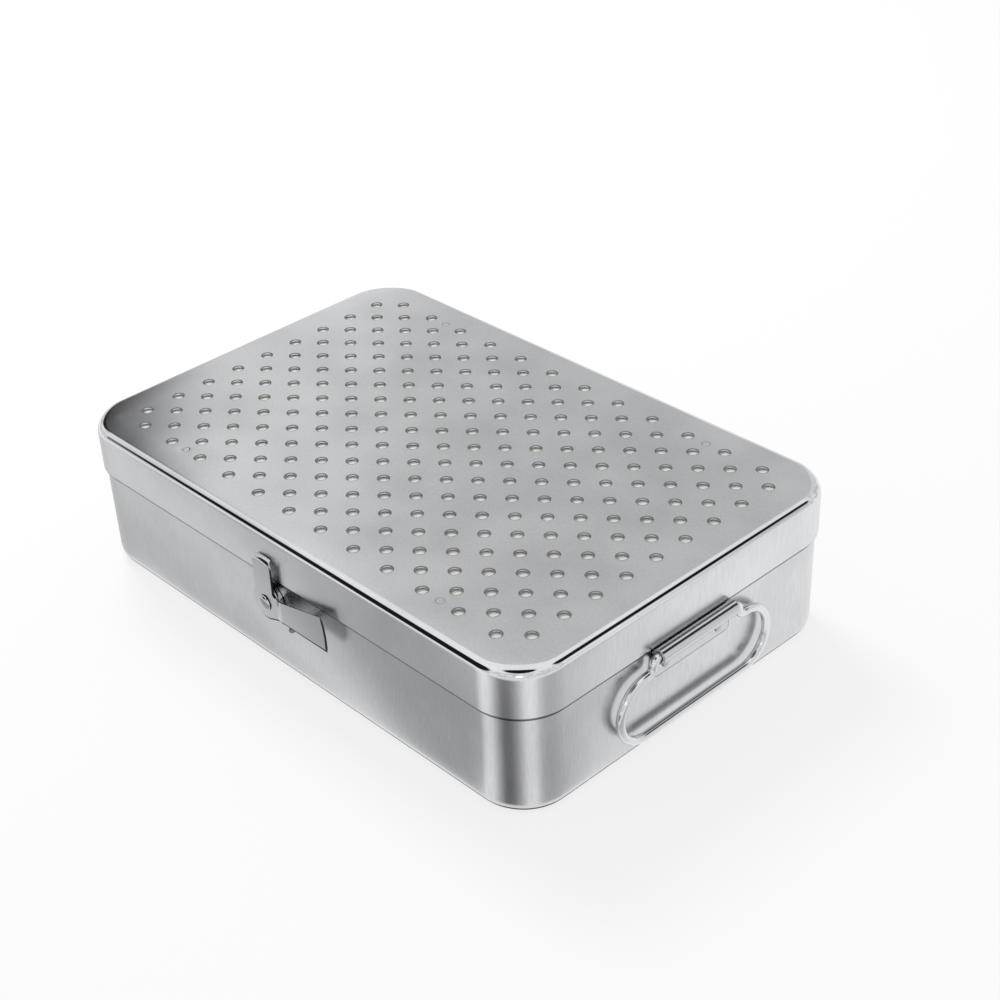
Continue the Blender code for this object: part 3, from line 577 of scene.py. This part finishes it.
def latch_blank():
    """The stamping's middle surface: blank, stepped lever and curled lip."""
    fold_radius = TAB_REACH - PLATE_SHEET / 2 - LIP_DEPTH
    shape = bmesh.new()
    shape.faces.new([shape.verts.new((u, 0, v)) for u, v in plate_outline(fold_radius)])
    # The border band takes the dark edge steel, as painted shade along the outline
    border = bmesh.ops.inset_region(shape, faces=shape.faces[:], thickness=DULL_SHADE_BAND,
                                    use_boundary=True, use_even_offset=True)["faces"]
    for face in border:
        face.material_index = 1
    stations = 12
    for station in range(stations + 1):
        place = (BEND[0] + BEND[1] * station / stations, 0, 0)
        bmesh.ops.bisect_plane(shape, geom=shape.verts[:] + shape.edges[:] + shape.faces[:],
                               plane_co=place, plane_no=(1, 0, 0))
    for vert in shape.verts:
        share = min(max((vert.co.x - BEND[0]) / BEND[1], 0), 1)
        vert.co.y = -BEND[2] * share * share * (3 - 2 * share)
    lip = [edge for edge in shape.edges
           if edge.is_boundary and max(abs(vert.co.x) for vert in edge.verts) < 2 * TAB_HALF
           and all(vert.co.z > 0 and vert.co.length > fold_radius - DULL_SHADE_BAND / 3 for vert in edge.verts)]
    folds = 10
    for fold in range(1, folds + 1):
        turn = math.pi / 2 * fold / folds
        radius = fold_radius + LIP_DEPTH * math.sin(turn)
        narrowing = (1 - LIP_TAPER * fold / folds) / (1 - LIP_TAPER * (fold - 1) / folds)
        grown = bmesh.ops.extrude_edge_only(shape, edges=lip)["geom"]
        lip = [item for item in grown if isinstance(item, bmesh.types.BMEdge)]
        for face in {face for edge in lip for face in edge.link_faces}:
            face.material_index = 0
        for vert in {vert for edge in lip for vert in edge.verts}:
            u = vert.co.x * narrowing
            vert.co = (u, LIP_DEPTH * (1 - math.cos(turn)), math.sqrt(radius * radius - u * u))
    bmesh.ops.translate(shape, verts=shape.verts, vec=joint_pivot("latch_turn"))
    return shape


def ease_edges(piece, sheet, width):
    """Give a bent surface its sheet thickness and round the sheared edges, whose rounds take the dark edge
    steel as painted shade.
    """
    thickness = piece.modifiers.new("sheet", "SOLIDIFY")
    thickness.thickness = sheet
    thickness.offset = 0
    thickness.use_even_offset = True
    easing = piece.modifiers.new("eased_edges", "BEVEL")
    easing.width = width
    easing.segments = 2
    easing.limit_method = "ANGLE"
    easing.angle_limit = math.radians(50)
    easing.material = 1
    piece.data.materials.append(sheared_edge_shade_steel)
    even_shading(piece)


# Painted shade: this edge steel is far darker than the plates, so that their borders and rounded edges draw
# dark outlines
sheared_edge_shade_steel = dark_edge_steel("sheared_edge_painted_shade", "5E5F62", "303134")
latch_steel = polished_stainless("polished_stainless_latch", "D2D3D6", "C0C1C5", 0.13, 0.000008)
plate = add_piece("latch_stamping", latch_blank(), latch_steel, "latch", "polished_stainless_steel",
                  "latch_plate")
ease_edges(plate, PLATE_SHEET, PLATE_EASE)

# Latch fixings
# The rivet through the hub has a domed head, a spacer that keeps the plate off the wall and a washer
# inside. A pin with a ball end stops the lever, and the lip hooks over a domed catch on the lid. The
# five are turned pieces.

FRONT = (math.pi / 2, 0, 0)    # turns a form's axis from up to the front
RIVET_SHANK = 0.0023
RIVET_HEAD = 0.0014            # height of the dome
RIVET_TAIL = 0.0012            # height of the tail inside the pan
TAIL_FACE = 0.7                # radius of the tail's flat end, as a share of the head's
TAIL_ROOT = 0.9                # the same where the tail meets the washer
SPACER_EASE = 0.00035
WASHER_EASE = 0.0002
PIN_SHANK = 0.0011
PIN_BALL = 0.0015
PIN_TAIL = 0.0008              # height of the tail inside the pan
PIN_TAIL_FACE = 0.8            # radius of its flat end, as a share of its full radius


def domed(radius, base, height, steps=8):
    """Profile of a dome from its rim to its crown."""
    turns = [math.pi / 2 * step / steps for step in range(steps)]
    rim = [(radius * math.cos(turn), base + height * math.sin(turn)) for turn in turns]
    return rim + [(0, base + height)]


fixing_steel = polished_stainless("polished_stainless_fixings", "D0D1D4", "BDBEC2", 0.11, 0.000006)
# Painted shade: the pin's steel is darker than the other fixings, in place of the shade about it
dark_painted_pin_steel = polished_stainless("turned_stainless_pin_painted_dark", "9A9B9F", "7A7B7F", 0.18, 0.000006)


def front_piece(name, profile, sides, node, body="base", steel=fixing_steel):
    """A turned piece whose axis points out of the front. Profile heights are world -y."""
    low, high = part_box(node)
    shape = bmesh.new()
    turned(shape, profile(-high.y, -low.y, (high.x - low.x) / 2), sides,
           ((low.x + high.x) / 2, 0, (low.z + high.z) / 2), FRONT)
    add_piece(name, shape, steel, body, "polished_stainless_steel", node)


front_piece("spacer_disc", lambda back, face, radius: [(RIVET_SHANK, back), (radius, back)]
            + eased(radius, face, SPACER_EASE, 1) + [(RIVET_SHANK, face)], 64, "latch_spacer")
front_piece("inner_washer", lambda back, face, radius: [(RIVET_SHANK, back)]
            + eased(radius, back, WASHER_EASE, -1)[::-1] + eased(radius, face, WASHER_EASE, 1)
            + [(RIVET_SHANK, face)], 48, "latch_washer")
front_piece("hub_rivet", lambda back, face, radius: [(0, back), (radius * TAIL_FACE, back),
            (radius * TAIL_ROOT, back + RIVET_TAIL), (RIVET_SHANK, back + RIVET_TAIL),
            (RIVET_SHANK, face - RIVET_HEAD)] + domed(radius, face - RIVET_HEAD, RIVET_HEAD),
            48, "latch_rivet")
front_piece("ball_stop_pin", lambda back, face, radius: [(0, back), (radius * PIN_TAIL_FACE, back),
            (radius, back + PIN_TAIL), (PIN_SHANK, back + PIN_TAIL)]
            + [(PIN_BALL * math.cos(turn), face - PIN_BALL + PIN_BALL * math.sin(turn))
               for turn in (math.radians(angle) for angle in range(-45, 90, 15))] + [(0, face)],
            32, "latch_stop_pin", steel=dark_painted_pin_steel)
front_piece("catch_button", lambda back, face, radius: [(0, back)] + domed(radius, back, face - back),
            36, "catch_stud", "lid")

# Drop handles
# At each end a leaf of 1.2 mm sheet is rolled round the handle's wire and riveted to the pan. The
# wire is 4 mm rod, bent to a flat loop whose two ends meet inside the roll.

HINGE_SHEET = 0.0012
HINGE_EASE = 0.00028
HINGE_MIDDLE = 0.00292         # from the pivot to the middle of the rolled sheet
LEAF_DEPTH = 0.0125
LEAF_CORNER = 0.0022
ROLL_TURN = 305
WIRE_RADIUS = 0.0020
LOOP_LENGTH = 0.0925
LOOP_HEIGHT = 0.0310
LOOP_DROP = 0.0062
WIRE_ENDS = 0.00025            # half the gap between the wire's ends
WIRE_GAP = 0.0003              # between the end of the roll and the wire where it bends down
HANDLE_RIVET_SHANK = 0.0012
HANDLE_RIVET_HEAD = 0.0009     # height of the head, and of the tail inside the pan
HANDLE_TAIL_FACE = 0.75        # radius of the tail's flat end, as a share of the head's


def hinge_surface(side, pivot, half_length):
    """Middle surface of the leaf and its roll, rows running along the hinge. The dull band of painted shade
    follows the leaf's lower edge and its two sides."""
    path = [(-HINGE_MIDDLE, -LEAF_DEPTH + LEAF_CORNER * (1 - math.cos(math.pi / 12 * step)),
             half_length - LEAF_CORNER * (1 - math.sin(math.pi / 12 * step))) for step in range(7)]
    path += [(u, v, half_length) for u, v in arc(0, 0, HINGE_MIDDLE, 180, 180 - ROLL_TURN, 40)]
    shape = bmesh.new()
    rows = [[shape.verts.new((pivot[0] + side * u, y, pivot[2] + v))
             for y in (-half, DULL_SHADE_BAND - half, half - DULL_SHADE_BAND, half)] for u, v, half in path]
    for place, (lower, upper) in enumerate(zip(rows, rows[1:])):
        for column in range(3):
            face = shape.faces.new((lower[column], lower[column + 1], upper[column + 1], upper[column]))
            if place < 2 or (place < 7 and column != 1):
                face.material_index = 1
    return shape


def loop_path(half_hinge):
    """Middle of the wire about its pivot, in y and z."""
    bend, end = LOOP_DROP / 2, LOOP_HEIGHT / 2
    shoulder = half_hinge + WIRE_GAP + bend
    side = [(WIRE_ENDS, 0), (half_hinge * 0.9, 0)]
    side += arc(shoulder - bend, -bend, bend, 90, 0, 10)
    side += arc(shoulder + bend, -bend, bend, 180, 270, 10)[1:]
    side += arc(LOOP_LENGTH / 2 - end, -LOOP_DROP - end, end, 90, -90, 32)
    return side + [(-y, z) for y, z in reversed(side)]


hinge_steel = polished_stainless("polished_stainless_hinge", "D6D7DA", "C4C5C9", 0.15, 0.000008)
wire_steel = polished_stainless("bright_stainless_wire", "E8E9EB", "D8D9DC", 0.12, 0.000006)
for side, label in ((1, "right"), (-1, "left")):
    pivot = joint_pivot("handle_" + label + "_swing")
    low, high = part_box("handle_hinge_" + label)
    hinge = add_piece("rolled_hinge_" + label, hinge_surface(side, pivot, high.y), hinge_steel,
                      "base", "polished_stainless_steel", "handle_hinge_" + label)
    ease_edges(hinge, HINGE_SHEET, HINGE_EASE)
    for end in ("front", "back"):
        node = "handle_rivet_" + label + "_" + end
        rivet_low, rivet_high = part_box(node)
        inner = min(abs(rivet_low.x), abs(rivet_high.x))
        outer = max(abs(rivet_low.x), abs(rivet_high.x))
        head = (rivet_high.z - rivet_low.z) / 2
        shape = bmesh.new()
        turned(shape, [(0, inner), (head * HANDLE_TAIL_FACE, inner), (head, inner + HANDLE_RIVET_HEAD),
                       (HANDLE_RIVET_SHANK, inner + HANDLE_RIVET_HEAD),
                       (HANDLE_RIVET_SHANK, outer - HANDLE_RIVET_HEAD)]
               + domed(head, outer - HANDLE_RIVET_HEAD, HANDLE_RIVET_HEAD, 6), 28,
               (0, (rivet_low.y + rivet_high.y) / 2, (rivet_low.z + rivet_high.z) / 2),
               (0, side * math.pi / 2, 0))
        add_piece("hinge_rivet_" + label + "_" + end, shape, fixing_steel, "base",
                  "polished_stainless_steel", node)
    curve = bpy.data.curves.new("wire_loop_" + label, "CURVE")
    curve.dimensions = "3D"
    curve.twist_mode = "MINIMUM"
    curve.bevel_depth = WIRE_RADIUS
    curve.bevel_resolution = 6
    curve.use_fill_caps = True
    points = loop_path(high.y)
    spline = curve.splines.new("POLY")
    spline.points.add(len(points) - 1)
    for point, (y, z) in zip(spline.points, points):
        point.co = (pivot[0], y, pivot[2] + z, 1)
    curve.materials.append(wire_steel)
    wire = bpy.data.objects.new("wire_loop_" + label, curve)
    bpy.context.collection.objects.link(wire)
    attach(wire, "handle_" + label)
    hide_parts("handle_wire_" + label)

# Studio
# The camera sees a plain white table and room. Metal mirrors them in graded greys instead, with folds
# of cloth, a grey card behind the box and four black cards, which draw the dark along the lid's edges.

WHITE = grey(1.0)
TABLE_SIZE = 40.0
TABLE_FILL = "F0F0F0"          # the table where it takes shadows and throws light on the box
TABLE_GLOW = 0.78              # share of what the camera sees of it that is plain white, with no shadow
# The table's greys follow the direction from this point, which is about half way from the axis of the
# pan's near corner to its face. There the corner's mirrored bands stay upright.
GREYS_MIDDLE = (0.1335, -0.0832, 0)
# Share of a full turn from +X, counter-clockwise, and brightness
TABLE_GREYS = ((0.00, 0.70), (0.018, 0.66), (0.026, 0.75), (0.035, 0.84), (0.046, 0.70), (0.058, 0.50),
               (0.075, 0.44), (0.118, 0.44), (0.142, 0.52), (0.166, 1.0), (0.208, 1.0), (0.245, 0.50),
               (0.277, 0.18), (0.315, 0.20), (0.355, 0.46), (0.400, 1.0), (0.442, 1.0), (0.482, 0.56),
               (0.525, 0.50), (0.600, 0.60), (0.640, 0.76), (0.670, 0.96), (0.700, 1.0), (0.740, 1.0),
               (1.00, 0.70))
GREYS_FADE = (0.26, 0.50)      # distances from the box's middle between which the greys turn white
FOOT_FADE = (0.002, 0.007)     # distances from the pan between which a white strip turns to the greys
FOOT_SHARE = 0.85              # how nearly white that strip is
CONTACT_FADE = (-0.0014, -0.0002)    # the same for the dark under the pan, just inside its outline
CONTACT_DARK = 0.03            # share of its brightness that the table keeps there
ROOM_FILL = grey(0.62)         # the room as light on the box
CLOTH_GREYS = ((0.40, 0.64), (0.60, 0.98))
CEILING_FADE = (0.61, 0.74)    # sines of the heights where the cloth ends and the white ceiling begins
# Azimuth and height of each card's middle, how far it fades and is full, in degrees, and its shade
CARDS = ((133, 33, 13, 2, 0.58), (238, 26, 25, 20, 0.01), (52, 46, 18, 12, 0.01), (314, 64, 19, 14, 0.01),
         (161, 27, 12.2, 9.6, 0.01))


def ray_kinds(tree):
    """The kinds of ray, and a value that is 1 for those that metal mirrors."""
    rays = add_node(tree, "ShaderNodeLightPath")
    mirrored = add_node(tree, "ShaderNodeMath", {"operation": "MAXIMUM"},
                        {0: rays.outputs["Is Glossy Ray"], 1: rays.outputs["Is Transmission Ray"]})
    return rays, mirrored.outputs["Value"]


table_material, tree, table_shader = new_material("white_table")
tree.nodes.remove(table_shader)
place = add_node(tree, "ShaderNodeTexCoord").outputs["Object"]
about = add_node(tree, "ShaderNodeVectorMath", {"operation": "SUBTRACT", 1: GREYS_MIDDLE}, {0: place})
round_corner = add_node(tree, "ShaderNodeTexGradient", {"gradient_type": "RADIAL"},
                        {"Vector": about.outputs["Vector"]})
graded = add_node(tree, "ShaderNodeValToRGB", {}, {"Fac": round_corner.outputs["Fac"]},
                  [(turn, grey(shade)) for turn, shade in TABLE_GREYS])
reach = add_node(tree, "ShaderNodeVectorMath", {"operation": "LENGTH"}, {0: place})
far = add_node(tree, "ShaderNodeMapRange", {"interpolation_type": "SMOOTHSTEP", "From Min": GREYS_FADE[0],
                                            "From Max": GREYS_FADE[1]}, {"Value": reach.outputs["Value"]})
bright = add_node(tree, "ShaderNodeMix", {"data_type": "RGBA", 7: WHITE},
                  {0: far.outputs["Result"], 6: graded.outputs["Color"]})
# The table is bright beside the box and little light reaches it underneath
folded = add_node(tree, "ShaderNodeVectorMath", {"operation": "ABSOLUTE"}, {0: place})
corner_axis = (pan_high.x - PAN_CORNER, pan_high.y - PAN_CORNER, 0)
outside = add_node(tree, "ShaderNodeVectorMath", {"operation": "SUBTRACT", 1: corner_axis},
                   {0: folded.outputs["Vector"]})
beyond = add_node(tree, "ShaderNodeVectorMath", {"operation": "MAXIMUM", 1: (0, 0, 0)},
                  {0: outside.outputs["Vector"]})
away = add_node(tree, "ShaderNodeVectorMath", {"operation": "LENGTH"}, {0: beyond.outputs["Vector"]})
beside = add_node(tree, "ShaderNodeMapRange", {"interpolation_type": "SMOOTHSTEP",
                                               "From Min": PAN_CORNER + FOOT_FADE[0],
                                               "From Max": PAN_CORNER + FOOT_FADE[1],
                                               "To Min": FOOT_SHARE, "To Max": 0.0},
                  {"Value": away.outputs["Value"]})
lit_foot = add_node(tree, "ShaderNodeMix", {"data_type": "RGBA", 7: WHITE},
                    {0: beside.outputs["Result"], 6: bright.outputs[2]})
contact = add_node(tree, "ShaderNodeMapRange", {"interpolation_type": "SMOOTHSTEP",
                                                "From Min": PAN_CORNER + CONTACT_FADE[0],
                                                "From Max": PAN_CORNER + CONTACT_FADE[1],
                                                "To Min": CONTACT_DARK},
                   {"Value": away.outputs["Value"]})
mirrored_table = add_node(tree, "ShaderNodeMix", {"data_type": "RGBA", "blend_type": "MULTIPLY", 0: 1.0},
                          {6: lit_foot.outputs[2], 7: contact.outputs["Result"]})
rays, mirrored = ray_kinds(tree)
shown = add_node(tree, "ShaderNodeMix", {"data_type": "RGBA", 6: WHITE},
                 {0: mirrored, 7: mirrored_table.outputs[2]})
glow = add_node(tree, "ShaderNodeEmission", {"Strength": 1.0}, {"Color": shown.outputs[2]})
matt = add_node(tree, "ShaderNodeBsdfDiffuse", {"Color": linear(TABLE_FILL)})
camera_share = add_node(tree, "ShaderNodeMath", {"operation": "MULTIPLY", 1: TABLE_GLOW},
                        {0: rays.outputs["Is Camera Ray"]})
share = add_node(tree, "ShaderNodeMath", {"operation": "MAXIMUM"},
                 {0: camera_share.outputs["Value"], 1: mirrored})
surface = add_node(tree, "ShaderNodeMixShader", {}, {0: share.outputs["Value"], 1: matt.outputs["BSDF"],
                                                     2: glow.outputs["Emission"]})
tree.links.new(surface.outputs["Shader"], tree.nodes["Material Output"].inputs["Surface"])
shape = bmesh.new()
bmesh.ops.create_grid(shape, x_segments=1, y_segments=1, size=TABLE_SIZE / 2)
mesh = bpy.data.meshes.new("table_top")
shape.to_mesh(mesh)
shape.free()
mesh.materials.append(table_material)
table = bpy.data.objects.new("table_top", mesh)
bpy.context.collection.objects.link(table)

world = bpy.data.worlds.new("studio_room")
bpy.context.scene.world = world
world.use_nodes = True
tree = world.node_tree
tree.nodes.clear()
toward = add_node(tree, "ShaderNodeTexCoord").outputs["Generated"]
height = add_node(tree, "ShaderNodeSeparateXYZ", {}, {"Vector": toward})
# Folds of the cloth walls, about 7 degrees wide and three times as tall
folds = add_node(tree, "ShaderNodeMapping", {"Scale": (8, 8, 2.6)}, {"Vector": toward})
clouds = add_node(tree, "ShaderNodeTexNoise", {"Scale": 1.0, "Detail": 2.0},
                  {"Vector": folds.outputs["Vector"]})
cloth = add_node(tree, "ShaderNodeValToRGB", {}, {"Fac": clouds.outputs["Fac"]},
                 [(share, grey(shade)) for share, shade in CLOTH_GREYS])
ceiling = add_node(tree, "ShaderNodeMapRange", {"interpolation_type": "SMOOTHSTEP",
                                                "From Min": CEILING_FADE[0], "From Max": CEILING_FADE[1]},
                   {"Value": height.outputs["Z"]})
room = add_node(tree, "ShaderNodeMix", {"data_type": "RGBA", 7: WHITE},
                {0: ceiling.outputs["Result"], 6: cloth.outputs["Color"]}).outputs[2]
for azimuth, elevation, faded, full, shade in CARDS:
    angles = math.radians(azimuth), math.radians(elevation)
    middle = (math.cos(angles[0]) * math.cos(angles[1]), math.sin(angles[0]) * math.cos(angles[1]),
              math.sin(angles[1]))
    facing = add_node(tree, "ShaderNodeVectorMath", {"operation": "DOT_PRODUCT", 1: middle}, {0: toward})
    card = add_node(tree, "ShaderNodeMapRange", {"interpolation_type": "SMOOTHSTEP",
                                                 "From Min": math.cos(math.radians(faded)),
                                                 "From Max": math.cos(math.radians(full))},
                    {"Value": facing.outputs["Value"]})
    room = add_node(tree, "ShaderNodeMix", {"data_type": "RGBA", 7: grey(shade)},
                    {0: card.outputs["Result"], 6: room}).outputs[2]
rays, mirrored = ray_kinds(tree)
plain = add_node(tree, "ShaderNodeMix", {"data_type": "RGBA", 6: ROOM_FILL}, {0: mirrored, 7: room})
shown = add_node(tree, "ShaderNodeMix", {"data_type": "RGBA", 7: WHITE},
                 {0: rays.outputs["Is Camera Ray"], 6: plain.outputs[2]})
glow = add_node(tree, "ShaderNodeBackground", {"Strength": 1.0}, {"Color": shown.outputs[2]})
add_node(tree, "ShaderNodeOutputWorld", {}, {"Surface": glow.outputs["Background"]})


def add_lamp(name, place, size, power, mirrored):
    """A round soft lamp that points at the box. Metal mirrors it only where mirrored is true."""
    light = bpy.data.lights.new(name, "AREA")
    light.shape = "DISK"
    light.size = size
    light.energy = power
    lamp = bpy.data.objects.new(name, light)
    bpy.context.collection.objects.link(lamp)
    lamp.location = place
    lamp.rotation_euler = (-Vector(place)).to_track_quat("-Z", "Y").to_euler()
    lamp.visible_glossy = mirrored


add_lamp("back_lamp", (-1.0, 0.28, 1.2), 0.70, 16, False)
# Seen in the near corner as its brightest spot, and the one thing that metal mirrors above white
add_lamp("corner_lamp", (0.705, -0.675, 0.34), 0.15, 0.12, True)

# Camera
# Its place and angle were fitted to the box's edges in the photograph. The fit needed the picture
# squashed vertically and this camera has square pixels, so the box comes out taller than there.

AZIMUTH, ELEVATION, ROLL = 48.577, 34.372, -3.2925
DISTANCE = 0.8691
ASIDE = (0.0072, -0.0139)      # how far right and up the camera is moved from its line to AIM
AIM = Vector((0, 0, 0.0375))   # the middle of the box
LENS_MM, SENSOR_MM = 66.98, 36
SHIFT_X, SHIFT_Y = 0.037, 0.045

turn, rise, tilt = (math.radians(angle) for angle in (AZIMUTH, ELEVATION, ROLL))
back = Vector((math.sin(turn) * math.cos(rise), -math.cos(turn) * math.cos(rise), math.sin(rise)))
level_right = Vector((math.cos(turn), math.sin(turn), 0))
level_up = back.cross(level_right)
right = math.cos(tilt) * level_right + math.sin(tilt) * level_up
up = -math.sin(tilt) * level_right + math.cos(tilt) * level_up
lens = bpy.data.cameras.new("camera")
lens.sensor_width = SENSOR_MM
lens.lens = LENS_MM
lens.shift_x = SHIFT_X
lens.shift_y = SHIFT_Y
lens.clip_start = 0.01
camera = bpy.data.objects.new("camera", lens)
bpy.context.collection.objects.link(camera)
stand = AIM + right * ASIDE[0] + up * ASIDE[1] + back * DISTANCE
camera.matrix_world = Matrix.Translation(stand) @ Matrix((right, up, back)).transposed().to_4x4()
bpy.context.scene.camera = camera
bpy.context.scene.view_settings.view_transform = "Standard"
